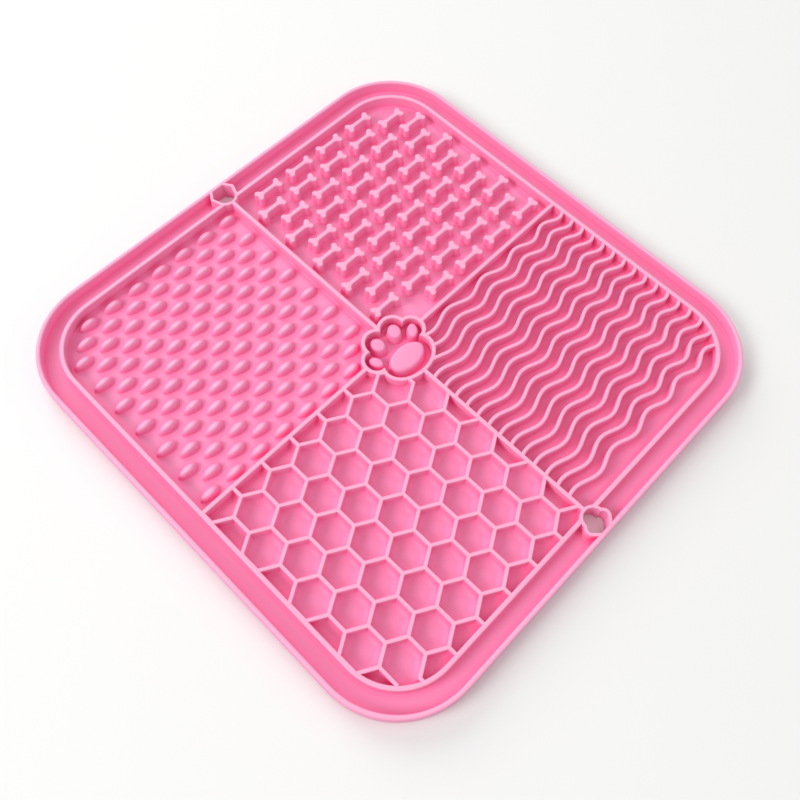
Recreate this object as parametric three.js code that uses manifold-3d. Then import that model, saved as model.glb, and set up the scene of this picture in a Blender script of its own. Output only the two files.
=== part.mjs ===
// Pet lick mat, one moulding of soft silicone.
// A tray with a raised rim and a frame rib, four fields of raised shapes parted by two dividers,
// a paw in the middle, and two hanging holes with a raised ring each.
// Millimetres, +Z up. The origin is the centre of the underside, and +Y is where the paw's toes point.
import * as THREE from "three";
import { mergeVertices } from "three/addons/utils/BufferGeometryUtils.js";
import Module from "manifold-3d";

const wasm = await Module();
wasm.setup();

// Driving dimensions
const mat = { side: 200, corner: 31, height: 7.2, floor: 2.1, edge: 0.6 };
const rim = { width: 1.8 };
const frame = { half: 90.7, corner: 21.5, width: 1.7 };
const divider = { width: 1.55 };
const bone = { length: 12.1, across: 4.9, shaft: 1.8, pitch: 16.57, row: 7.77, top: 84.15 };
const drop = { length: 8.2, width: 4.2, height: 3.2, pitch: 11.08, row: 5.805, top: 86.2, first: -83.9 };
const wave = { ribs: 16, width: 1.3, swing: 1.3, blunt: 1.14, row: 5.228, top: -4.73 };
const comb = { pitch: 12.91, row: 11.24, width: 1.3, top: -0.8 };
const paw = { width: 1.45, below: 1.0, postTop: 0.95, postFoot: 1.12 };
const hole = { wall: 1.25, out: 93.5, arc: 4.95, dip: 0.26, tip: 5.9, tipOut: 95.0, end: 3.9, endOut: 98.4 };

// How far a raised shape's foot is sunk into the floor, and how many points a quarter turn takes
const foot = 0.8;
const cornerSteps = 4;
const pawSteps = 5;
const arcSteps = 8;

const inside = mat.side / 2 - rim.width;
const recess = mat.height - mat.floor;

// A closed geometry as a solid that can be joined and cut
function solid(geometry) {
  const bare = geometry.index ? geometry.toNonIndexed() : geometry.clone();
  bare.deleteAttribute("normal");
  bare.deleteAttribute("uv");
  const merged = mergeVertices(bare, 1e-4);
  const vertProperties = merged.attributes.position.array;
  const triVerts = new Uint32Array(merged.index.array);
  return new wasm.Manifold(new wasm.Mesh({ numProp: 3, vertProperties, triVerts }));
}

// A solid back as a geometry
function geometryOf(made) {
  const mesh = made.getMesh();
  const geometry = new THREE.BufferGeometry();
  geometry.setAttribute("position", new THREE.BufferAttribute(mesh.vertProperties, 3));
  geometry.setIndex(new THREE.BufferAttribute(mesh.triVerts, 1));
  const faceted = geometry.toNonIndexed();
  faceted.computeVertexNormals();
  return faceted;
}

function join(solids) {
  return solids.reduce((whole, piece) => whole.add(piece));
}

// An outline raised from one height to another
function raise(shape, low, high, steps = cornerSteps) {
  const geometry = new THREE.ExtrudeGeometry(shape, {
    depth: high - low,
    bevelEnabled: false,
    curveSegments: steps,
  });
  return solid(geometry.translate(0, 0, low));
}

// A raised shape that stands on the floor and reaches the top of the ribs
function standing(shape, steps) {
  return raise(shape, mat.floor - foot, mat.height, steps);
}

function outline(points) {
  return new THREE.Shape(points.map(([x, y]) => new THREE.Vector2(x, y)));
}

function roundedSquare(half, corner) {
  const straight = half - corner;
  const shape = new THREE.Shape();
  shape.absarc(straight, straight, corner, 0, Math.PI / 2);
  shape.absarc(-straight, straight, corner, Math.PI / 2, Math.PI);
  shape.absarc(-straight, -straight, corner, Math.PI, Math.PI * 1.5);
  shape.absarc(straight, -straight, corner, Math.PI * 1.5, Math.PI * 2);
  return shape;
}

function box(x0, x1, y0, y1, low, high) {
  return raise(outline([[x0, y0], [x1, y0], [x1, y1], [x0, y1]]), low, high);
}

// Tray: floor and outer rim, with eased top and bottom edges
function tray() {
  const half = mat.side / 2;
  const body = new THREE.ExtrudeGeometry(roundedSquare(half - mat.edge, mat.corner - mat.edge), {
    depth: mat.height - 2 * mat.edge,
    bevelThickness: mat.edge,
    bevelSize: mat.edge,
    bevelSegments: 1,
    curveSegments: cornerSteps,
  });
  const whole = solid(body.translate(0, 0, mat.edge));
  const well = raise(roundedSquare(inside, mat.corner - rim.width), mat.floor, mat.height + 1);
  return whole.subtract(well);
}

// Frame rib around the four fields
function frameRib() {
  const away = frame.width / 2;
  const outer = standing(roundedSquare(frame.half + away, frame.corner + away));
  const inner = standing(roundedSquare(frame.half - away, frame.corner - away));
  return outer.subtract(inner.translate([0, 0, -foot]).add(inner.translate([0, 0, foot])));
}

function dividers() {
  const away = divider.width / 2;
  const low = mat.floor - foot;
  const upright = box(-away, away, -frame.half, frame.half, low, mat.height);
  const level = box(-frame.half, frame.half, -away, away, low, mat.height);
  return upright.add(level);
}

// One field's room, up to the middle of the frame rib: right and far are 1 or -1
function field(right, far) {
  const room = standing(roundedSquare(frame.half, frame.corner));
  const x = right * frame.half;
  const y = far * frame.half;
  const quarter = box(Math.min(0, x), Math.max(0, x), Math.min(0, y), Math.max(0, y), 0, mat.height + 1);
  return room.intersect(quarter);
}

// Bones: posts with two knobs at each end, in rows that step sideways by about half a pitch
const boneRows = [
  { rows: "even", first: 14.4 },
  { rows: "odd", first: 9.4 },
];

// One end of a bone: a knob's corners and the notch between the knobs, as shares of half its length
// and of half its width
const knob = { neck: 0.62, wide: 0.75, low: 0.72, notch: 0.9 };

function bonePost(x, y) {
  const half = bone.length / 2;
  const wide = bone.across / 2;
  const quarter = [[half * knob.neck, bone.shaft / 2], [half * knob.wide, wide], [half, wide * knob.low]];
  const notch = [half * knob.notch, 0];
  const lower = quarter.map(([px, py]) => [px, -py]);
  const rightEnd = [...lower, notch, ...quarter.reverse()];
  const leftEnd = rightEnd.map(([px, py]) => [-px, -py]);
  return standing(outline([...rightEnd, ...leftEnd].map(([px, py]) => [x + px, y + py])));
}

function bones() {
  const posts = [];
  for (let row = 0; row <= 10; row += 1) {
    const first = boneRows[row % 2].first;
    for (let n = 0; n < 5; n += 1) {
      const atCorner = row === 0 && n === 4;
      const atPaw = row === 10 && n === 0;
      if (atCorner || atPaw) continue;
      posts.push(bonePost(first + n * bone.pitch, bone.top - row * bone.row));
    }
  }
  return posts;
}

// Drops: low seed-shaped bumps, pointed at the left and round at the right
const dropPoints = [
  { spot: "point", along: -0.5, across: 0, up: 0 },
  { spot: "middle", along: -0.12, across: 0.47, up: 0 },
  { spot: "round end", along: 0.28, across: 0.44, up: 0 },
  { spot: "end", along: 0.5, across: 0, up: 0 },
  { spot: "crest, left", along: -0.2, across: -0.08, up: 0.9 },
  { spot: "crest, right", along: 0.2, across: -0.08, up: 1 },
];

function dropBump(x, y) {
  const at = ({ along, across, up }, side) => [
    x + along * drop.length,
    y + side * across * drop.width,
    mat.floor + up * drop.height,
  ];
  const [tip, mid, round, end, crestLeft, crestRight] = dropPoints;
  const low = (point) => [point[0], point[1], mat.floor - foot];
  const ring = [at(tip, 1), at(mid, -1), at(round, -1), at(end, 1), at(round, 1), at(mid, 1)];
  const left = at(crestLeft, 1);
  const right = at(crestRight, 1);
  const [a, b, c, d, e, f] = ring;
  const faces = [[a, b, left], [b, c, right], [b, right, left], [c, d, right]];
  faces.push([d, e, right], [e, f, right], [f, left, right], [f, a, left]);
  ring.forEach((point, n) => {
    const next = ring[(n + 1) % ring.length];
    faces.push([low(point), low(next), next], [low(point), next, point]);
    if (n > 0 && n < ring.length - 1) faces.push([low(a), low(next), low(point)]);
  });
  const geometry = new THREE.BufferGeometry();
  geometry.setAttribute("position", new THREE.Float32BufferAttribute(faces.flat(2), 3));
  return solid(geometry);
}

function drops() {
  const bumps = [];
  for (let row = 0; row <= 14; row += 1) {
    const odd = row % 2 === 1;
    const count = odd ? 7 : 8;
    const first = odd ? drop.first + drop.pitch / 2 : drop.first;
    for (let n = 0; n < count; n += 1) {
      const atCorner = row === 0 && n === 0;
      const atPaw = row === 14 && n === 7;
      if (atCorner || atPaw) continue;
      bumps.push(dropBump(first + n * drop.pitch, drop.top - row * drop.row));
    }
  }
  return bumps;
}

// Waves: each half wave is a little shorter than the one before it, from the divider to the frame rib.
// A place along a rib is counted in half waves from the first crest, and a rib bends a little before
// and after each crest.
const swell = { first: 3.5, half: 11, shrink: 0.19, start: -0.3, bend: 0.22, last: 9, end: 9.5 };

function waveRib(y) {
  const places = [swell.start, swell.bend];
  for (let n = 1; n <= swell.last; n += 1) places.push(n - swell.bend, n + swell.bend);
  places.push(swell.end);
  const upper = [];
  const lower = [];
  for (const k of places) {
    const x = swell.first + swell.half * k - swell.shrink * k * k;
    const middle = y + wave.swing * wave.blunt * Math.cos(Math.PI * k);
    upper.push([x, middle + wave.width / 2]);
    lower.push([x, middle - wave.width / 2]);
  }
  return standing(outline([...lower, ...upper.reverse()]));
}

function waves() {
  const ribs = [];
  for (let n = 0; n < wave.ribs; n += 1) ribs.push(waveRib(wave.top - n * wave.row));
  return join(ribs).intersect(field(1, -1));
}

// Honeycomb: the field's room less one six-sided cell after another
function cell(x, y) {
  const scale = (comb.pitch - comb.width) / comb.pitch;
  const high = (comb.row * 2 / 3) * scale;
  const side = (comb.row / 3) * scale;
  const wide = (comb.pitch / 2) * scale;
  const points = [[0, high], [-wide, side], [-wide, -side], [0, -high], [wide, -side], [wide, side]];
  return raise(outline(points.map(([px, py]) => [x + px, y + py])), 0, mat.height + 1);
}

// Ribs that are left out, so that two cells open into each other: how many pitches to the left and
// how many rows down the middle of each one lies
const openRibs = [
  { place: "at the paw's foot", left: 0.25, down: 1.5 },
  { place: "at the outer corner", left: 6.25, down: 7.5 },
];

function openRib({ left, down }) {
  const middle = new THREE.Vector2(-left * comb.pitch, comb.top - down * comb.row);
  const run = new THREE.Vector2(comb.pitch / 4, -comb.row / 6);
  const along = run.clone().setLength(run.length() - comb.width * 0.6);
  const across = new THREE.Vector2(-run.y, run.x).setLength(comb.width);
  const corner = (a, b) => middle.clone().addScaledVector(along, a).addScaledVector(across, b).toArray();
  const points = [corner(-1, -1), corner(1, -1), corner(1, 1), corner(-1, 1)];
  return raise(outline(points), 0, mat.height + 1);
}

function honeycomb() {
  const cells = openRibs.map(openRib);
  for (let row = 0; row <= 8; row += 1) {
    const shift = row % 2 === 0 ? 0.5 : 0;
    for (let n = 0; n <= 7; n += 1) cells.push(cell(-(n + shift) * comb.pitch, comb.top - row * comb.row));
  }
  return field(-1, -1).subtract(join(cells));
}

// Paw: the rim follows four toe rounds and a wide pad round
const pawRounds = [
  { part: "left outer toe", x: -10.05, y: -0.2, halfX: 4.2, halfY: 4.8 },
  { part: "left inner toe", x: -4.1, y: 4.5, halfX: 5.4, halfY: 5.4 },
  { part: "right inner toe", x: 3.85, y: 5.1, halfX: 5.25, halfY: 4.9 },
  { part: "right outer toe", x: 9.25, y: 0.25, halfX: 4.5, halfY: 4.75 },
  { part: "pad", x: -0.05, y: -7.05, halfX: 10.75, halfY: 7.85 },
];
const pawPosts = [
  { part: "left outer toe", x: -9.75, y: -0.35, halfX: 2.1, halfY: 3.0, turn: 20, steps: 14 },
  { part: "left inner toe", x: -4.25, y: 4.3, halfX: 2.7, halfY: 3.2, turn: 5, steps: 14 },
  { part: "right inner toe", x: 4.1, y: 4.15, halfX: 2.65, halfY: 3.25, turn: -25, steps: 14 },
  { part: "right outer toe", x: 9.25, y: -0.25, halfX: 2.15, halfY: 3.2, turn: -40, steps: 14 },
  { part: "pad", x: 0, y: -6.45, halfX: 7.9, halfY: 4.85, turn: 0, steps: 22 },
];

function pawRoom(grow, low, high) {
  const rounds = pawRounds.map(({ x, y, halfX, halfY }) => {
    const round = new THREE.Shape().absellipse(x, y, halfX + grow, halfY + grow, 0, Math.PI * 2);
    return raise(round, low, high, pawSteps * 2);
  });
  return join(rounds);
}

function pawPost({ x, y, halfX, halfY, turn, steps }) {
  const high = recess - paw.below + foot;
  const post = new THREE.CylinderGeometry(paw.postTop, paw.postFoot, high, steps).rotateX(Math.PI / 2);
  post.scale(halfX, halfY, 1).rotateZ(THREE.MathUtils.degToRad(turn));
  return solid(post.translate(x, y, mat.floor - foot + high / 2));
}

// Hanging hole: a round end towards the middle and a half hexagon that runs into the rim. The round
// starts and ends a little inwards of its middle, by the angle named dip.
function holeOutline(side, grow) {
  const arc = hole.arc + grow;
  const end = hole.end + grow;
  const turn = Math.PI - 2 * hole.dip;
  const shape = new THREE.Shape();
  const edge = (x, y) => shape.lineTo(x, side * y);
  shape.moveTo(end, side * hole.endOut);
  edge(hole.tip + grow, hole.tipOut);
  for (let n = 0; n <= arcSteps; n += 1) {
    const angle = -hole.dip - turn * (n / arcSteps);
    edge(arc * Math.cos(angle), hole.out + arc * Math.sin(angle));
  }
  edge(-hole.tip - grow, hole.tipOut);
  edge(-end, hole.endOut);
  return shape;
}

function hangingHole(side) {
  return {
    ring: standing(holeOutline(side, 0)),
    bore: raise(holeOutline(side, -hole.wall), -1, mat.height + 1),
  };
}

function matSolid() {
  const pawBlock = pawRoom(0, 0, mat.height + 1);
  const pawRing = pawRoom(paw.width / 2, mat.floor - foot, mat.height);
  const pawWell = pawRoom(-paw.width / 2, 0, mat.height + 1);
  const holes = [hangingHole(1), hangingHole(-1)];
  const ribs = join([frameRib(), dividers(), waves(), honeycomb()]);
  const raised = [
    ribs.subtract(pawBlock),
    pawRing.subtract(pawWell),
    ...pawPosts.map(pawPost),
    ...bones(),
    ...drops(),
    ...holes.map(({ ring }) => ring),
  ];
  return join([tray(), ...raised]).subtract(join(holes.map(({ bore }) => bore)));
}

const silicone = new THREE.MeshStandardMaterial({ color: 0xf77fb0, roughness: 0.55, metalness: 0 });
const lickMat = new THREE.Mesh(geometryOf(matSolid()), silicone);
lickMat.name = "mat";

const part = new THREE.Group();
part.add(lickMat);

export default part;
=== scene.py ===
"""Pet lick mat of soft pink silicone: the fine surface of the moulding, its finish, and a plain stage.

Shapes are modelled in millimetres and settled in metres. The mat lies flat, with the middle of its
underside at the origin and the paw's toes towards +Y.
"""

import math

import bmesh
import bpy
from bpy.props import FloatProperty, FloatVectorProperty, IntProperty, PointerProperty
from mathutils import Matrix, Vector


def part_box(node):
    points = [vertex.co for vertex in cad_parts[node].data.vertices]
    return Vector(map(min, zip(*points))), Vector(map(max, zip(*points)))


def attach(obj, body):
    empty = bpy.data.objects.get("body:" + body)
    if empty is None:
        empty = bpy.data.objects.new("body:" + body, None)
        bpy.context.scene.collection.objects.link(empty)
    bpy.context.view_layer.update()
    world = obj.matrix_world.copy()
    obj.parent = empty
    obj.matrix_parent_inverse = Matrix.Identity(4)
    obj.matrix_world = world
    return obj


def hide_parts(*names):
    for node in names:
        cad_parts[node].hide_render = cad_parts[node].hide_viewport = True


bl_info = {
    "name": "Silicone lick mat",
    "version": (1, 0, 0),
    "blender": (4, 5, 0),
    "location": "3D View > Sidebar > Lick mat",
    "description": "Builds the raised shapes and the finish of a square silicone lick mat",
    "category": "Object",
}

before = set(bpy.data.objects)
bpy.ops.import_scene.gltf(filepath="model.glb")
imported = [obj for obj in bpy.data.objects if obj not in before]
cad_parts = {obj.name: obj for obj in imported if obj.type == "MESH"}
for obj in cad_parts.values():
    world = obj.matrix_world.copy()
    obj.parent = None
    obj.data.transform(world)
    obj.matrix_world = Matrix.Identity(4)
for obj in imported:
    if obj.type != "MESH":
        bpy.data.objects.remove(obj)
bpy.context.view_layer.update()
LOW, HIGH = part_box("mat")
MM = 0.001
HALF = HIGH.x / MM
HEIGHT = HIGH.z / MM

# Levels above the surface that the mat lies on. Shapes that meet end a hair apart, so that no two
# flat faces share a level.
HAIR = 0.01
RING_TOP = HEIGHT
TRAY_TOP = HEIGHT - HAIR
DIVIDER_TOP = HEIGHT - 2 * HAIR
FIELD_TOP = HEIGHT - 3 * HAIR
FLOOR = 2.1
TRAY_FLOOR = FLOOR - HAIR
FOOT = FLOOR - 2 * HAIR
BURIED = FLOOR - 0.9

# Corners of the outlines: round a hanging hole and its ring, and round the paw
HOLE_STEPS = 96
PAW_STEPS = 180


def length(name, description, millimetres):
    """A length that a user may change."""
    return FloatProperty(name=name, description=description, default=millimetres * MM, unit="LENGTH", min=0)


class LickMatSizes(bpy.types.PropertyGroup):
    """Sizes of the moulding."""

    corner: length("Corner radius", "Round of the outer corners", 31)
    rim: length("Rim width", "Top of the outer rim with its soft edges", 1.8)
    frame_half: length("Frame half", "Middle of the frame rib from the mat's middle", 90.7)
    frame_width: length("Frame rib width", "Top of the frame rib with its soft edges", 1.7)
    divider_width: length("Divider width", "Top of the dividers between the fields", 1.55)
    comb_pitch: length("Honeycomb pitch", "From one cell's middle to the next along a row", 12.91)
    comb_row: length("Honeycomb row", "From one row of cells to the next", 11.24)
    comb_width: length("Honeycomb rib width", "Top of the ribs between cells", 1.3)
    wave_row: length("Wave row", "From one wavy rib to the next", 5.228)
    wave_width: length("Wave rib width", "Top of a wavy rib with its soft edges", 1.45)
    wave_swing: length("Wave swing", "How far a wavy rib swings to each side", 1.3)
    wave_count: IntProperty(name="Wave ribs", description="Ribs in the field of waves", default=16, min=1)
    bone_pitch: length("Bone pitch", "From one bone to the next along a row", 16.57)
    bone_row: length("Bone row", "From one row of bones to the next", 7.77)
    drop_pitch: length("Drop pitch", "From one drop to the next along a row", 11.08)
    drop_row: length("Drop row", "From one row of drops to the next", 5.805)
    drop_height: length("Drop height", "How far a drop stands out of the floor", 3.2)
    paw_width: length("Paw rib width", "Top of the rib round the paw", 1.45)
    ring_wall: length("Ring wall", "Top of the ring round a hanging hole", 1.2)


class LickMatFinish(bpy.types.PropertyGroup):
    """Colour and surface of the silicone."""

    colour: FloatVectorProperty(
        name="Silicone",
        description="Body colour of the silicone",
        subtype="COLOR",
        default=(0.95, 0.31, 0.54),
        min=0,
        max=1,
    )
    # Painted shade: ambient occlusion mixes this darker colour in at the feet of walls and in hollows,
    # standing in for the shade that falls there
    deep: FloatVectorProperty(
        name="Creases",
        description="Deeper colour at the feet of the walls, where the silicone is thick",
        subtype="COLOR",
        default=(0.97, 0.12, 0.36),
        min=0,
        max=1,
    )
    # Painted light: the narrow tops are made paler by height, standing in for the brighter light that the
    # raised tops catch
    raised: FloatVectorProperty(
        name="Raised tops",
        description="Paler colour of the narrow raised tops, where light gets through the silicone",
        subtype="COLOR",
        default=(0.96, 0.41, 0.60),
        min=0,
        max=1,
    )
    roughness: FloatProperty(
        name="Roughness",
        description="How matt the silicone is",
        default=0.48,
        subtype="FACTOR",
        min=0,
        max=1,
    )


def size(name):
    """A named size in millimetres."""
    return getattr(bpy.context.scene.lick_mat_sizes, name) / MM


# Profiles: lists of moves, each (inwards, up), that a flat face is taken through. A margin is a last
# narrow ring on a flat face, which keeps the shading of the rest flat.


def round_over(radius, steps=4):
    """From an upright wall over a soft edge to a flat top."""
    turns = [math.pi / 2 * n / steps for n in range(steps + 1)]
    spots = [(radius * (1 - math.cos(t)), radius * math.sin(t)) for t in turns]
    return [(b[0] - a[0], b[1] - a[1]) for a, b in zip(spots, spots[1:])]


def fill_up(radius, steps=4):
    """From a flat floor up a hollow fillet to an upright wall."""
    return [(up, inwards) for inwards, up in round_over(radius, steps)]


def downwards(moves):
    """The same profile on the far side, walked from its top to its foot."""
    return [(inwards, -up) for inwards, up in reversed(moves)]


def rise(height, edge, fillet, draft=0.06):
    """From a flat floor up a fillet, a wall and a soft edge to a flat top."""
    return [*fill_up(fillet), (draft, height - edge - fillet), *round_over(edge)]


def width_of(moves):
    return sum(inwards for inwards, _ in moves)


# Modelling


def square(bm, half, corner, z, steps=20):
    """A flat square face with round corners, alone in its mesh."""
    verts = bmesh.ops.create_grid(bm, x_segments=1, y_segments=1, size=half)["verts"]
    bmesh.ops.translate(bm, verts=verts, vec=(0, 0, z))
    bmesh.ops.bevel(
        bm, geom=verts, offset=corner, segments=steps, profile=0.5, affect="VERTICES", material=-1
    )
    return list(bm.faces)


def disc(bm, reach, z, middle, steps):
    """A flat face whose edge lies at reach(angle) from its middle."""
    verts = bmesh.ops.create_circle(bm, cap_ends=True, segments=steps, radius=1)["verts"]
    for vert in verts:
        far = reach(math.atan2(vert.co.y, vert.co.x))
        vert.co = (middle[0] + vert.co.x * far, middle[1] + vert.co.y * far, z)
    return list(verts[0].link_faces)


def climb(bm, faces, moves, boundary=True):
    """Takes flat faces through a profile, one inset a move, with or without their mesh's own edge."""
    for inwards, up in moves:
        bmesh.ops.inset_region(
            bm, faces=faces, thickness=inwards, depth=up, use_even_offset=True, use_boundary=boundary
        )


def stack(bm, faces, outline, middle, grow, moves):
    """Takes one flat face through a profile, one ring a move, each ring on the outline at its growth."""
    for inwards, up in moves:
        bmesh.ops.inset_region(bm, faces=faces, thickness=0, depth=0, use_boundary=True)
        grow -= inwards
        reach = outline(grow)
        for vert in faces[0].verts:
            angle = math.atan2(vert.co.y - middle[1], vert.co.x - middle[0])
            x, y = middle[0] + reach(angle) * math.cos(angle), middle[1] + reach(angle) * math.sin(angle)
            vert.co = (x, y, vert.co.z + up)


def backed(bm, faces):
    """Adds the underside of flat faces, to be joined along its edge when doubles are merged."""
    made = bmesh.ops.duplicate(bm, geom=faces)["geom"]
    under = [g for g in made if isinstance(g, bmesh.types.BMFace)]
    bmesh.ops.reverse_faces(bm, faces=under)
    return under


def emboss(bm, faces, moves):
    """Raises a closed shape out of the floor, from flat faces at the buried level."""
    backed(bm, faces)
    climb(bm, faces, [(HAIR, FOOT - BURIED), *moves])


def prism(bm, faces, height):
    """A closed block from flat faces up to a copy of them."""
    made = bmesh.ops.extrude_face_region(bm, geom=faces, use_keep_orig=True)["geom"]
    verts = [g for g in made if isinstance(g, bmesh.types.BMVert)]
    bmesh.ops.translate(bm, verts=verts, vec=(0, 0, height))


def repeat(bm, spots):
    """Copies everything in the mesh to each spot and drops the pattern itself."""
    pattern = [*bm.verts, *bm.edges, *bm.faces]
    for x, y in spots:
        made = bmesh.ops.duplicate(bm, geom=pattern)["geom"]
        verts = [g for g in made if isinstance(g, bmesh.types.BMVert)]
        bmesh.ops.translate(bm, verts=verts, vec=(x, y, 0))
    bmesh.ops.delete(bm, geom=[g for g in pattern if isinstance(g, bmesh.types.BMVert)], context="VERTS")


def take_in(whole, shape, turn=0.0, to=(0, 0)):
    """Turns a finished shape about +Z, moves it, and adds it to a whole."""
    bmesh.ops.rotate(shape, cent=(0, 0, 0), matrix=Matrix.Rotation(turn, 3, "Z"), verts=shape.verts)
    bmesh.ops.translate(shape, vec=(*to, 0), verts=shape.verts)
    mesh = bpy.data.meshes.new("shape")
    shape.to_mesh(mesh)
    shape.free()
    whole.from_mesh(mesh)
    bpy.data.meshes.remove(mesh)


def object_from(bm, name):
    """The modelled shape as an object, closed and facing out."""
    bmesh.ops.remove_doubles(bm, verts=bm.verts, dist=1e-4)
    bmesh.ops.recalc_face_normals(bm, faces=bm.faces)
    mesh = bpy.data.meshes.new(name)
    bm.to_mesh(mesh)
    bm.free()
    piece = bpy.data.objects.new(name, mesh)
    bpy.context.scene.collection.objects.link(piece)
    return piece


def carve(piece, tool, operation):
    """Cuts a piece by a closed block, or keeps what is inside it, and removes the block."""
    cut = piece.modifiers.new("carve", "BOOLEAN")
    cut.operation = operation
    cut.solver = "EXACT"
    cut.object = tool
    bpy.context.view_layer.update()
    made = bpy.data.meshes.new_from_object(piece.evaluated_get(bpy.context.evaluated_depsgraph_get()))
    piece.modifiers.clear()
    old = piece.data
    piece.data = made
    bpy.data.meshes.remove(old)
    bpy.data.meshes.remove(tool.data)
    if not made.polygons:
        raise RuntimeError(f"nothing is left of {piece.name} after its cut")


def settle(piece, low=HEIGHT - 0.5, high=HEIGHT - 0.1, most=1.0):
    """Finishes a piece: painted light that makes its tops paler between two levels, real size, the silicone,
    its place in the frame.
    """
    sharp = math.radians(40)
    # Painted light: a share from nothing at the low level up to most at the high one, which mixes in the
    # paler colour of the tops
    pale = piece.data.attributes.new("raised", "FLOAT", "POINT")
    for vert, painted_light in zip(piece.data.vertices, pale.data):
        painted_light.value = most * min(max((vert.co.z - low) / (high - low), 0), 1)
    piece.data.transform(Matrix.Scale(MM, 4))
    piece.data.name = piece.name
    piece.data.shade_smooth()
    piece.data.set_sharp_from_angle(angle=sharp)
    piece.data.materials.clear()
    piece.data.materials.append(silicone())
    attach(piece, "root")
    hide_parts("mat")


# Outlines


def leaves_ellipse(start, ray, middle, half_x, half_y):
    """How far a ray goes before it leaves an ellipse for the last time, or 0 if it misses."""
    ox, oy = (start[0] - middle[0]) / half_x, (start[1] - middle[1]) / half_y
    dx, dy = ray[0] / half_x, ray[1] / half_y
    a, b, c = dx * dx + dy * dy, ox * dx + oy * dy, ox * ox + oy * oy - 1
    inside = b * b - a * c
    return (-b + math.sqrt(inside)) / a if inside > 0 else 0.0


def ellipse_reach(half_x, half_y):
    def reach(angle):
        return 1 / math.hypot(math.cos(angle) / half_x, math.sin(angle) / half_y)

    return reach


# Rounds that the paw's rib follows: name, middle, half width, half height
PAW_MIDDLE = (0.0, -1.5)
PAW_ROUNDS = (
    ("left outer toe", (-10.05, -0.2), 4.2, 4.8),
    ("left inner toe", (-4.1, 4.5), 5.4, 5.4),
    ("right inner toe", (3.85, 5.1), 5.25, 4.9),
    ("right outer toe", (9.25, 0.25), 4.5, 4.75),
    ("pad", (-0.05, -7.05), 10.75, 7.85),
)

# Raised posts in the paw: name, middle, half width, half height, turn in degrees
PAW_POSTS = (
    ("left outer toe", (-9.75, -0.35), 2.1, 3.0, 20),
    ("left inner toe", (-4.25, 4.3), 2.7, 3.2, 5),
    ("right inner toe", (4.1, 4.15), 2.65, 3.25, -25),
    ("right outer toe", (9.25, -0.25), 2.15, 3.2, -40),
    ("pad", (0.0, -6.45), 7.9, 4.85, 0),
)


def paw_reach(grow):
    """The paw's outline round its middle, grown by a distance."""

    def reach(angle):
        ray = (math.cos(angle), math.sin(angle))
        return max(
            leaves_ellipse(PAW_MIDDLE, ray, middle, half_x + grow, half_y + grow)
            for _, middle, half_x, half_y in PAW_ROUNDS
        )

    return reach


# A hanging hole is a round towards the mat's middle, and six sides of which the last runs into the
# rim. Lengths out are from the mat's middle. Each corner of the six sides' right half is its half
# width and how far out it lies. Lobes, one on each side, make the second hole's outline a flower.
HOLE_MIDDLE = 94.2
RING_END = 98.9
HOLES = (
    {
        "name": "toes",
        "side": 1,
        "rounds": ((0.0, 93.4, 3.65),),
        "corners": ((2.5, 98.25), (4.5, 95.3), (3.7, 93.0)),
    },
    {
        "name": "pad",
        "side": -1,
        "rounds": ((0.0, 93.15, 3.55), (-3.05, 94.9, 1.6), (3.05, 94.9, 1.6)),
        "corners": ((2.0, 98.25), (4.0, 96.2), (2.9, 93.3)),
    },
)


def hole_reach(hole, grow, end=None):
    """A hanging hole's outline round its middle, grown by a distance and cut off at an end."""
    right = [(x, y - HOLE_MIDDLE) for x, y in hole["corners"]]
    corners = [*right, *[(-x, y) for x, y in reversed(right)]]

    def reach(angle):
        ray = Vector((math.cos(angle), hole["side"] * math.sin(angle)))
        walls = []
        for a, b in zip(corners, corners[1:] + corners[:1]):
            normal = Vector((b[1] - a[1], a[0] - b[0])).normalized()
            if normal.dot(Vector(a)) < 0:
                normal.negate()
            if normal.dot(ray) > 1e-6:
                walls.append((normal.dot(Vector(a)) + grow) / normal.dot(ray))
        far = min(walls)
        for x, out, radius in hole["rounds"]:
            middle = (x, out - HOLE_MIDDLE)
            far = max(far, leaves_ellipse((0, 0), ray, middle, radius + grow, radius + grow))
        if end and ray.y > 0:
            far = min(far, (end - HOLE_MIDDLE) / ray.y)
        return far

    return reach


def bore_block(hole, grow):
    """A block that cuts a hanging hole, with a soft upper edge."""
    edge, above = 0.3, 1.0
    middle = (0, hole["side"] * HOLE_MIDDLE)
    bm = bmesh.new()
    lower = backed(bm, disc(bm, hole_reach(hole, grow + edge), HEIGHT + above, middle, HOLE_STEPS))
    moves = [(0, -above), *[(inwards, -up) for inwards, up in fill_up(edge)], (0, edge - HEIGHT - above)]
    stack(bm, lower, lambda g: hole_reach(hole, g), middle, grow + edge, moves)
    return object_from(bm, "bore")


def paw_block():
    """A block of the paw's room, up to the middle of the rib round it."""
    above = 1.0
    bm = bmesh.new()
    prism(bm, disc(bm, paw_reach(0), 0, PAW_MIDDLE, PAW_STEPS), HEIGHT + above)
    return object_from(bm, "paw room")


def field_block(right, far):
    """A block of one field's room, up to the middle of the ribs around it."""
    half, lift = size("frame_half"), 0.1
    bm = bmesh.new()
    square(bm, half, size("corner") - (HALF - half), BURIED + lift)
    for normal in ((right, 0, 0), (0, far, 0)):
        bmesh.ops.bisect_plane(
            bm,
            geom=[*bm.verts, *bm.edges, *bm.faces],
            plane_co=(0, 0, 0),
            plane_no=normal,
            clear_inner=True,
        )
    prism(bm, list(bm.faces), HEIGHT)
    room = object_from(bm, "room")
    carve(room, paw_block(), "DIFFERENCE")
    hole = next(hole for hole in HOLES if hole["side"] == far)
    carve(room, bore_block(hole, size("ring_wall") / 2), "DIFFERENCE")
    return room


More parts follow.
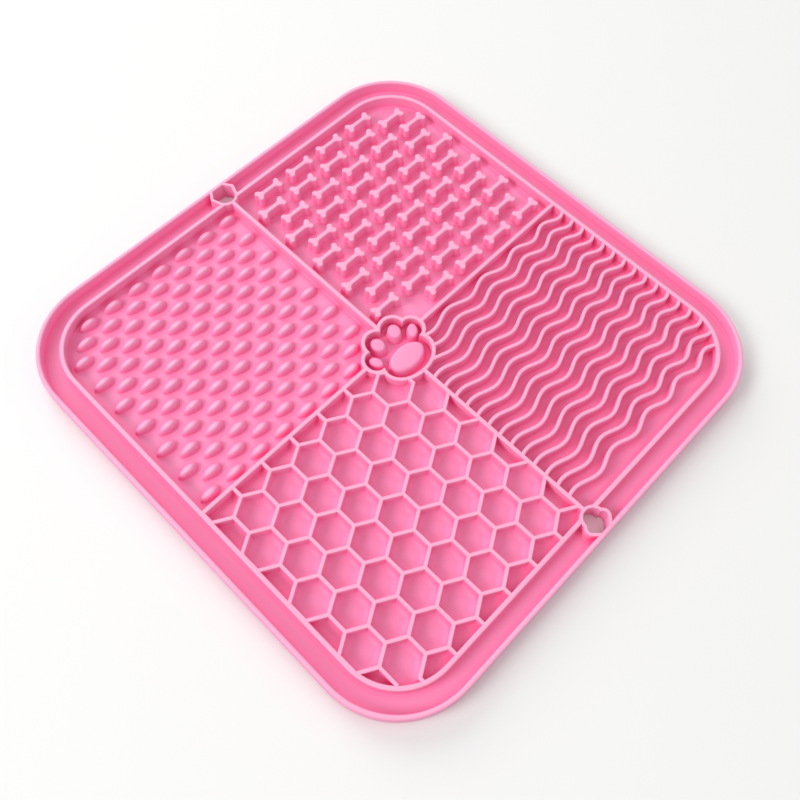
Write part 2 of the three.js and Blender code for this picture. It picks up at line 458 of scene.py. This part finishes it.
def close_sheet(bm):
    """Gives an open patterned sheet straight sides and an underside."""
    edges = [e for e in bm.edges if e.is_boundary]
    made = bmesh.ops.extrude_edge_only(bm, edges=edges)["geom"]
    for vert in (g for g in made if isinstance(g, bmesh.types.BMVert)):
        vert.co.z = BURIED
    bmesh.ops.edgeloop_fill(bm, edges=[e for e in bm.edges if e.is_boundary])


# Material


def silicone():
    """Soft matt silicone with painted shade in its hollows, painted light on its tops, a faint mottle and a
    fine grain.
    """
    known = bpy.data.materials.get("pink silicone")
    if known:
        return known
    look = bpy.context.scene.lick_mat_finish
    material = bpy.data.materials.new("pink silicone")
    material.use_nodes = True
    nodes = material.node_tree.nodes
    links = material.node_tree.links
    shader = nodes["Principled BSDF"]
    shader.inputs["IOR"].default_value = 1.41
    place = nodes.new("ShaderNodeTexCoord")
    grain = nodes.new("ShaderNodeTexNoise")
    grain.inputs["Scale"].default_value = 900.0
    grain.inputs["Detail"].default_value = 3.0
    cloud = nodes.new("ShaderNodeTexNoise")
    cloud.inputs["Scale"].default_value = 40.0
    cloud.inputs["Detail"].default_value = 4.0
    # Painted shade: ambient occlusion darkens the body colour towards the darker colour at the feet of walls
    # and in hollows
    occlusion_shade = nodes.new("ShaderNodeAmbientOcclusion")
    occlusion_shade.samples = 4
    occlusion_shade.inputs["Distance"].default_value = 0.0028
    painted_crease_shade = nodes.new("ShaderNodeMapRange")
    painted_crease_shade.inputs["From Min"].default_value = 0.22
    painted_crease_shade.inputs["From Max"].default_value = 0.96
    depth = nodes.new("ShaderNodeMix")
    depth.data_type = "RGBA"
    depth.inputs[6].default_value = (*look.deep, 1)
    depth.inputs[7].default_value = (*look.colour, 1)
    # Painted light: the raised attribute mixes the paler colour of the tops over the rest
    raised = nodes.new("ShaderNodeAttribute")
    raised.attribute_name = "raised"
    body = nodes.new("ShaderNodeMix")
    body.data_type = "RGBA"
    body.inputs[7].default_value = (*look.raised, 1)
    mottle = nodes.new("ShaderNodeMix")
    mottle.data_type = "RGBA"
    mottle.blend_type = "MULTIPLY"
    mottle.inputs[7].default_value = (0.97, 0.93, 0.95, 1)
    rough = nodes.new("ShaderNodeMapRange")
    rough.inputs["To Min"].default_value = look.roughness - 0.05
    rough.inputs["To Max"].default_value = look.roughness + 0.07
    bump = nodes.new("ShaderNodeBump")
    bump.inputs["Strength"].default_value = 0.15
    bump.inputs["Distance"].default_value = 0.00005
    for noise in (grain, cloud):
        links.new(place.outputs["Object"], noise.inputs["Vector"])
    links.new(occlusion_shade.outputs["AO"], painted_crease_shade.inputs["Value"])
    links.new(painted_crease_shade.outputs["Result"], depth.inputs[0])
    links.new(depth.outputs[2], body.inputs[6])
    links.new(raised.outputs["Fac"], body.inputs[0])
    links.new(body.outputs[2], mottle.inputs[6])
    links.new(cloud.outputs["Fac"], mottle.inputs[0])
    links.new(mottle.outputs[2], shader.inputs["Base Color"])
    links.new(grain.outputs["Fac"], rough.inputs["Value"])
    links.new(rough.outputs["Result"], shader.inputs["Roughness"])
    links.new(grain.outputs["Fac"], bump.inputs["Height"])
    links.new(bump.outputs["Normal"], shader.inputs["Normal"])
    return material


# Pieces of the moulding


class LICKMAT_OT_tray(bpy.types.Operator):
    """Builds the tray in one skin: floor, outer rim, channel and frame rib"""

    bl_idname = "lickmat.tray"
    bl_label = "Tray with rim and frame rib"

    def execute(self, context):
        under, edge, channel, rib_edge, rib_foot = 0.6, 0.7, 0.7, 0.45, 0.7
        outer_draft, inner_draft, margin = 0.1, 0.15, 0.3
        deep = TRAY_TOP - TRAY_FLOOR
        bm = bmesh.new()
        faces = square(bm, HALF, size("corner"), under)
        lower = backed(bm, faces)
        climb(bm, lower, round_over(under))
        outside = [(outer_draft, TRAY_TOP - under - edge), *round_over(edge)]
        inside = downwards(rise(deep, edge, channel, inner_draft))
        rim = [*outside, (size("rim") - 2 * edge, 0), *inside]
        rib = rise(deep, rib_edge, rib_foot)
        to_rib = HALF - size("frame_half") - size("frame_width") / 2
        gutter = to_rib - width_of(rim) - (width_of(rib) - rib_edge)
        flat = size("frame_width") - 2 * rib_edge
        climb(bm, faces, [*rim, (gutter, 0), *rib, (flat, 0), *downwards(rib), (margin, 0)])
        piece = object_from(bm, "tray")
        for hole in HOLES:
            carve(piece, bore_block(hole, 2 * HAIR), "DIFFERENCE")
        settle(piece)
        return {"FINISHED"}


class LICKMAT_OT_dividers(bpy.types.Operator):
    """Builds the four arms of the two dividers, from the paw to the frame rib"""

    bl_idname = "lickmat.dividers"
    bl_label = "Dividers"

    def execute(self, context):
        # Quarter turns from +X, and where the arm starts in the paw's rib and ends in the next rib
        arms = ((0, 13.85, 90.7), (1, 8.0, 89.2), (2, 14.4, 90.7), (3, 15.3, 89.2))
        edge, fillet, spare = 0.32, 0.7, 3.0
        moves = rise(DIVIDER_TOP - FOOT, edge, fillet)
        half = size("divider_width") / 2 - edge + width_of(moves) + HAIR
        whole = bmesh.new()
        for quarter, start, end in arms:
            arm = bmesh.new()
            verts = bmesh.ops.create_grid(arm, x_segments=1, y_segments=1, size=1)["verts"]
            bmesh.ops.scale(arm, vec=((end - start) / 2 + spare, half, 1), verts=verts)
            bmesh.ops.translate(arm, vec=((start + end) / 2, 0, BURIED), verts=verts)
            emboss(arm, list(arm.faces), moves)
            bmesh.ops.remove_doubles(arm, verts=arm.verts, dist=1e-4)
            for x, outwards in ((start, -1), (end, 1)):
                bmesh.ops.bisect_plane(
                    arm,
                    geom=[*arm.verts, *arm.edges, *arm.faces],
                    plane_co=(x, 0, 0),
                    plane_no=(outwards, 0, 0),
                    clear_outer=True,
                )
                bmesh.ops.edgeloop_fill(arm, edges=[e for e in arm.edges if e.is_boundary])
            take_in(whole, arm, quarter * math.pi / 2)
        settle(object_from(whole, "dividers"))
        return {"FINISHED"}


class LICKMAT_OT_honeycomb(bpy.types.Operator):
    """Builds the field of six-sided cells"""

    bl_idname = "lickmat.honeycomb"
    bl_label = "Honeycomb field"

    def execute(self, context):
        edge, fillet, margin, first = 0.3, 2.3, 0.1, -0.8
        pitch, row_pitch = size("comb_pitch"), size("comb_row")
        radius = pitch / math.sqrt(3)
        stretch = Matrix.Diagonal((1, row_pitch / (1.5 * radius), 1, 1))
        bm = bmesh.new()
        for row in range(9):
            shift = 0 if row % 2 else 0.5
            for n in range(-1, 8):
                spot = (-(n + shift) * pitch, first - row * row_pitch, FIELD_TOP)
                place = Matrix.Translation(spot) @ stretch
                bmesh.ops.create_circle(bm, cap_ends=True, segments=6, radius=radius, matrix=place)
        bmesh.ops.remove_doubles(bm, verts=bm.verts, dist=0.01)
        # Two ribs are left out, at the paw's foot and at the mat's corner, so that a cell opens into
        # the next one: how many pitches to the left and how many rows down each one's middle lies
        for left, down in ((0.25, 1.5), (6.25, 7.5)):
            spot = Vector((-left * pitch, first - down * row_pitch, FIELD_TOP))
            near = min(bm.edges, key=lambda e: ((e.verts[0].co + e.verts[1].co) / 2 - spot).length)
            bmesh.ops.dissolve_edges(bm, edges=[near])
        cells = list(bm.faces)
        flat = size("comb_width") / 2 - edge
        pit = downwards(rise(FIELD_TOP - FLOOR, edge, fillet))
        for inwards, up in [(flat, 0), *pit, (margin, 0)]:
            bmesh.ops.inset_individual(bm, faces=cells, thickness=inwards, depth=up, use_even_offset=True)
        close_sheet(bm)
        piece = object_from(bm, "honeycomb")
        carve(piece, field_block(-1, -1), "INTERSECT")
        settle(piece)
        return {"FINISHED"}


class LICKMAT_OT_waves(bpy.types.Operator):
    """Builds the field of wavy ribs"""

    bl_idname = "lickmat.waves"
    bl_label = "Field of waves"

    def execute(self, context):
        edge, fillet, margin, first, spare = 0.45, 0.7, 0.3, -4.73, 2.9
        count, swing = context.scene.lick_mat_sizes.wave_count, size("wave_swing")
        # A place along a rib is counted in half waves from the first crest. Each half wave is a
        # little shorter than the one before it.
        crest, half_wave, shrink = 3.5, 11.0, 0.19
        start, end, steps = -0.75, 10.25, 8
        columns, strips = round((end - start) * steps), 2 * count + 1
        flat = size("wave_width") / 2 - edge
        bm = bmesh.new()
        bmesh.ops.create_grid(bm, x_segments=columns, y_segments=strips, size=0.5)
        gaps = [f for f in bm.faces if math.floor((f.calc_center_median().y + 0.5) * strips) % 2 == 0]
        for vert in bm.verts:
            k = start + (vert.co.x + 0.5) * (end - start)
            line = round((vert.co.y + 0.5) * strips)
            rib = count - (line + 1) // 2
            side = 1 if line % 2 == 0 else -1
            slope = -swing * math.pi * math.sin(math.pi * k) / (half_wave - 2 * shrink * k)
            middle = first - rib * size("wave_row") + swing * math.cos(math.pi * k)
            y = middle + side * flat * math.hypot(1, slope)
            if line == 0:
                y = -size("frame_half") - spare
            if line == strips:
                y = spare
            vert.co = (crest + half_wave * k - shrink * k * k, y, FIELD_TOP)
        groove = downwards(rise(FIELD_TOP - FLOOR, edge, fillet))
        climb(bm, gaps, [*groove, (margin, 0)], boundary=False)
        close_sheet(bm)
        piece = object_from(bm, "waves")
        carve(piece, field_block(1, -1), "INTERSECT")
        settle(piece)
        return {"FINISHED"}


class LICKMAT_OT_bones(bpy.types.Operator):
    """Builds the bones: posts with two round knobs at each end, in staggered rows"""

    bl_idname = "lickmat.bones"
    bl_label = "Bones"

    def execute(self, context):
        top, rows, in_row = 84.15, 11, 5
        # First bone of the even and of the odd rows, and the places that the corner and paw take
        firsts = (14.4, 9.4)
        left_out = {(0, 4), (10, 0)}
        bm = bmesh.new()
        flare, draft, edge = 0.6, 0.25, 0.5
        height = FIELD_TOP - FOOT
        moves = [*fill_up(flare, 3), (draft, height - flare - edge), *round_over(edge, 4)]
        emboss(bm, self.outline(bm, flare + draft), moves)
        spots = [
            (firsts[row % 2] + n * size("bone_pitch"), top - row * size("bone_row"))
            for row in range(rows)
            for n in range(in_row)
            if (row, n) not in left_out
        ]
        repeat(bm, spots)
        settle(object_from(bm, "bones"))
        return {"FINISHED"}

    def outline(self, bm, grow):
        """A bone's foot as a flat face: a quarter of its edge, mirrored twice."""
        shaft, knob, knob_x, knob_y, hollow = 0.9 + grow, 1.2 + grow, 4.88, 1.27, 0.6
        neck = knob_x - math.sqrt(knob**2 - (shaft - knob_y) ** 2)
        tip = knob_x + math.sqrt(knob**2 - knob_y**2)
        start = math.atan2(shaft - knob_y, neck - knob_x)
        end = math.atan2(-knob_y, tip - knob_x)
        middle = bm.verts.new((0, shaft, BURIED))
        corner = bm.verts.new((neck, shaft, BURIED))
        bm.edges.new((middle, corner))
        bmesh.ops.spin(
            bm,
            geom=[corner],
            cent=(knob_x, knob_y, BURIED),
            axis=(0, 0, -1),
            angle=start - end,
            steps=9,
            use_duplicate=False,
        )
        for axis in "XY":
            bmesh.ops.mirror(bm, geom=[*bm.verts, *bm.edges], axis=axis, merge_dist=1e-3)
        bmesh.ops.edgeloop_fill(bm, edges=bm.edges)
        if bm.faces[:][0].normal.z < 0:
            bmesh.ops.reverse_faces(bm, faces=bm.faces)
        necks = [v for v in bm.verts if self.turn(v) > math.radians(40) and abs(v.co.y) > 0.01]
        bmesh.ops.bevel(
            bm, geom=necks, offset=hollow, segments=2, profile=0.5, affect="VERTICES", material=-1
        )
        return list(bm.faces)

    def turn(self, vert):
        a, b = [edge.other_vert(vert).co - vert.co for edge in vert.link_edges]
        return math.pi - a.angle(b)


class LICKMAT_OT_drops(bpy.types.Operator):
    """Builds the drops: low seed-shaped domes, pointed at the left, in staggered rows"""

    bl_idname = "lickmat.drops"
    bl_label = "Drops"

    def execute(self, context):
        first, top, rows, in_row = -83.9, 86.2, 15, 8
        left_out = {(0, 0), (14, 7)}
        half_long, half_wide, taper, crest = 4.05, 2.15, 0.1, Vector((-0.2, -0.8, 0))
        # Painted light: a drop is paler from this share of its height up, standing in for the light on its
        # upper part
        pale, height = 0.65, size("drop_height")
        # Rings from the foot to the top: share of the outline, and share of the height
        foot = [(1.09, 0.0), (1.03, 0.03), (1.0, 0.11)]
        dome = [(math.cos(t), math.sin(t)) for t in (0.32, 0.6, 0.88, 1.14, 1.36)]
        bm = bmesh.new()
        verts = bmesh.ops.create_circle(bm, cap_ends=True, segments=18, radius=1)["verts"]
        for vert in verts:
            narrow = max((1 + vert.co.x) / 2, 0) ** taper
            vert.co = (vert.co.x * half_long, vert.co.y * half_wide * narrow, BURIED)
        faces = list(bm.faces)
        backed(bm, faces)
        share = 1.0
        for wide, up in [*foot, *dome]:
            bmesh.ops.inset_region(bm, faces=faces, thickness=0, depth=0, use_boundary=True)
            ring = list(faces[0].verts)
            grown = wide / share
            bmesh.ops.scale(
                bm, vec=(grown, grown, 1), space=Matrix.Translation(-crest), verts=ring
            )
            for vert in ring:
                vert.co.z = FOOT + up * height
            share = wide
        bmesh.ops.poke(bm, faces=faces, offset=0.02 * height)
        spots = []
        for row in range(rows):
            odd = row % 2
            for n in range(in_row - odd):
                if (row, n) not in left_out:
                    spots.append((first + (n + odd / 2) * size("drop_pitch"), top - row * size("drop_row")))
        repeat(bm, spots)
        settle(object_from(bm, "drops"), low=FLOOR + pale * height, high=FLOOR + height)
        return {"FINISHED"}


class LICKMAT_OT_paw(bpy.types.Operator):
    """Builds the paw in the middle: a rib round it, and its toes and pad as raised posts"""

    bl_idname = "lickmat.paw"
    bl_label = "Paw"

    def execute(self, context):
        # The posts' walls lean in to both sides of the outline listed for them, grown a little
        edge, fillet, margin, below, lean, grown = 0.35, 0.5, 0.2, 1.0, 0.35, 0.15
        outer = rise(RING_TOP - FOOT, edge, fillet)
        inner = rise(RING_TOP - FLOOR, edge, fillet)
        grow = size("paw_width") / 2 - edge + width_of(outer)
        top = (size("paw_width") - 2 * edge, 0)
        moves = [(0, FOOT - BURIED), *outer, top, *downwards(inner), (margin, 0)]
        bm = bmesh.new()
        faces = disc(bm, paw_reach(grow), BURIED, PAW_MIDDLE, PAW_STEPS)
        backed(bm, faces)
        stack(bm, faces, paw_reach, PAW_MIDDLE, grow, moves)
        settle(object_from(bm, "paw.rib"))
        posts, post_top = bmesh.new(), RING_TOP - below
        for name, middle, half_x, half_y, turn in PAW_POSTS:
            soft, steps = (1.1, 64) if name == "pad" else (0.8, 32)
            moves = rise(post_top - FOOT, soft, fillet, 2 * lean)
            spread = width_of(moves) - soft - lean + grown
            shape = bmesh.new()
            faces = disc(shape, ellipse_reach(half_x + spread, half_y + spread), BURIED, (0, 0), steps)
            emboss(shape, faces, moves)
            take_in(posts, shape, math.radians(turn), middle)
        # Painted light: the posts' tops get only a little of the paler colour
        settle(object_from(posts, "paw.posts"), low=post_top - 0.5, high=post_top, most=0.12)
        return {"FINISHED"}


class LICKMAT_OT_hole_rings(bpy.types.Operator):
    """Builds the rings round the two hanging holes"""

    bl_idname = "lickmat.hole_rings"
    bl_label = "Rings round the hanging holes"

    def execute(self, context):
        edge, fillet = 0.3, 0.5
        moves = rise(RING_TOP - FOOT, edge, fillet)
        grow = size("ring_wall") - edge + width_of(moves)
        for hole in HOLES:
            middle = (0, hole["side"] * HOLE_MIDDLE)
            bm = bmesh.new()
            faces = disc(bm, hole_reach(hole, grow, RING_END), BURIED, middle, HOLE_STEPS)
            backed(bm, faces)
            stack(
                bm, faces, lambda g: hole_reach(hole, g, RING_END), middle, grow, [(0, FOOT - BURIED), *moves]
            )
            ring = object_from(bm, "hole_ring." + hole["name"])
            carve(ring, bore_block(hole, 0), "DIFFERENCE")
            settle(ring)
        return {"FINISHED"}


# Stage


class LICKMAT_OT_stage(bpy.types.Operator):
    """Builds a pale floor, soft studio light and the camera"""

    bl_idname = "lickmat.stage"
    bl_label = "Floor, light and camera"

    def execute(self, context):
        half, gap = 3000, 0.2
        bm = bmesh.new()
        bmesh.ops.create_grid(bm, x_segments=1, y_segments=1, size=half)
        bmesh.ops.translate(bm, verts=bm.verts, vec=(0, 0, -gap))
        floor = object_from(bm, "floor")
        floor.data.transform(Matrix.Scale(MM, 4))
        paper = bpy.data.materials.new("pale paper")
        paper.use_nodes = True
        shader = paper.node_tree.nodes["Principled BSDF"]
        shader.inputs["Base Color"].default_value = (0.84, 0.84, 0.83, 1)
        shader.inputs["Roughness"].default_value = 0.9
        floor.data.materials.append(paper)

        world = context.scene.world or bpy.data.worlds.new("studio")
        context.scene.world = world
        world.use_nodes = True
        sky = world.node_tree.nodes["Background"]
        sky.inputs["Color"].default_value = (1, 1, 1, 1)
        sky.inputs["Strength"].default_value = 0.46

        # Soft lamps: name, direction from the mat and height above the floor in degrees, how wide it
        # is, and strength as the brightness that it gives a face turned to it
        lamps = (
            ("above", 0, 90, 2.0, 0.16),
            ("far", 78, 30, 1.4, 0.46),
            ("left", 156, 38, 0.9, 0.50),
            ("right", 300, 30, 1.6, 0.12),
        )
        away = 2.0
        for name, turn, height, across, strength in lamps:
            light = bpy.data.lights.new(name, "AREA")
            light.shape = "DISK"
            light.size = across
            light.energy = strength * (math.pi * away) ** 2
            lamp = bpy.data.objects.new(name, light)
            context.scene.collection.objects.link(lamp)
            turn, height = math.radians(turn), math.radians(height)
            level = away * math.cos(height)
            lamp.location = (level * math.cos(turn), level * math.sin(turn), away * math.sin(height))
            lamp.rotation_euler = lamp.location.to_track_quat("Z", "Y").to_euler()

        lens = bpy.data.cameras.new("camera")
        lens.sensor_width = 36
        lens.lens = 37.517
        camera = bpy.data.objects.new("camera", lens)
        context.scene.collection.objects.link(camera)
        place = Vector((-109.53, -97.18, 273.57))
        aim = Vector((-14.86, -17.23, 7.2))
        roll = math.radians(4.528)
        level = (aim - place).to_track_quat("-Z", "Y")
        camera.rotation_euler = (level.to_matrix() @ Matrix.Rotation(roll, 3, "Z")).to_euler()
        camera.location = place * MM
        context.scene.camera = camera
        context.scene.view_settings.view_transform = "Standard"
        return {"FINISHED"}


PIECES = (
    LICKMAT_OT_tray,
    LICKMAT_OT_dividers,
    LICKMAT_OT_honeycomb,
    LICKMAT_OT_waves,
    LICKMAT_OT_bones,
    LICKMAT_OT_drops,
    LICKMAT_OT_paw,
    LICKMAT_OT_hole_rings,
    LICKMAT_OT_stage,
)


class LICKMAT_PT_panel(bpy.types.Panel):
    """Lists the sizes, the finish and the pieces"""

    bl_idname = "LICKMAT_PT_panel"
    bl_label = "Lick mat"
    bl_space_type = "VIEW_3D"
    bl_region_type = "UI"
    bl_category = "Lick mat"

    def draw(self, context):
        for group in (context.scene.lick_mat_sizes, context.scene.lick_mat_finish):
            box = self.layout.box()
            for name in group.bl_rna.properties.keys():
                if name not in ("rna_type", "name"):
                    box.prop(group, name)
        for piece in PIECES:
            self.layout.operator(piece.bl_idname)


CLASSES = (LickMatSizes, LickMatFinish, *PIECES, LICKMAT_PT_panel)


def register():
    for cls in CLASSES:
        bpy.utils.register_class(cls)
    bpy.types.Scene.lick_mat_sizes = PointerProperty(type=LickMatSizes)
    bpy.types.Scene.lick_mat_finish = PointerProperty(type=LickMatFinish)


def unregister():
    del bpy.types.Scene.lick_mat_finish
    del bpy.types.Scene.lick_mat_sizes
    for cls in reversed(CLASSES):
        bpy.utils.unregister_class(cls)


def main():
    register()
    bpy.ops.lickmat.tray()
    bpy.ops.lickmat.dividers()
    bpy.ops.lickmat.honeycomb()
    bpy.ops.lickmat.waves()
    bpy.ops.lickmat.bones()
    bpy.ops.lickmat.drops()
    bpy.ops.lickmat.paw()
    bpy.ops.lickmat.hole_rings()
    bpy.ops.lickmat.stage()


if __name__ == "__main__":
    main()
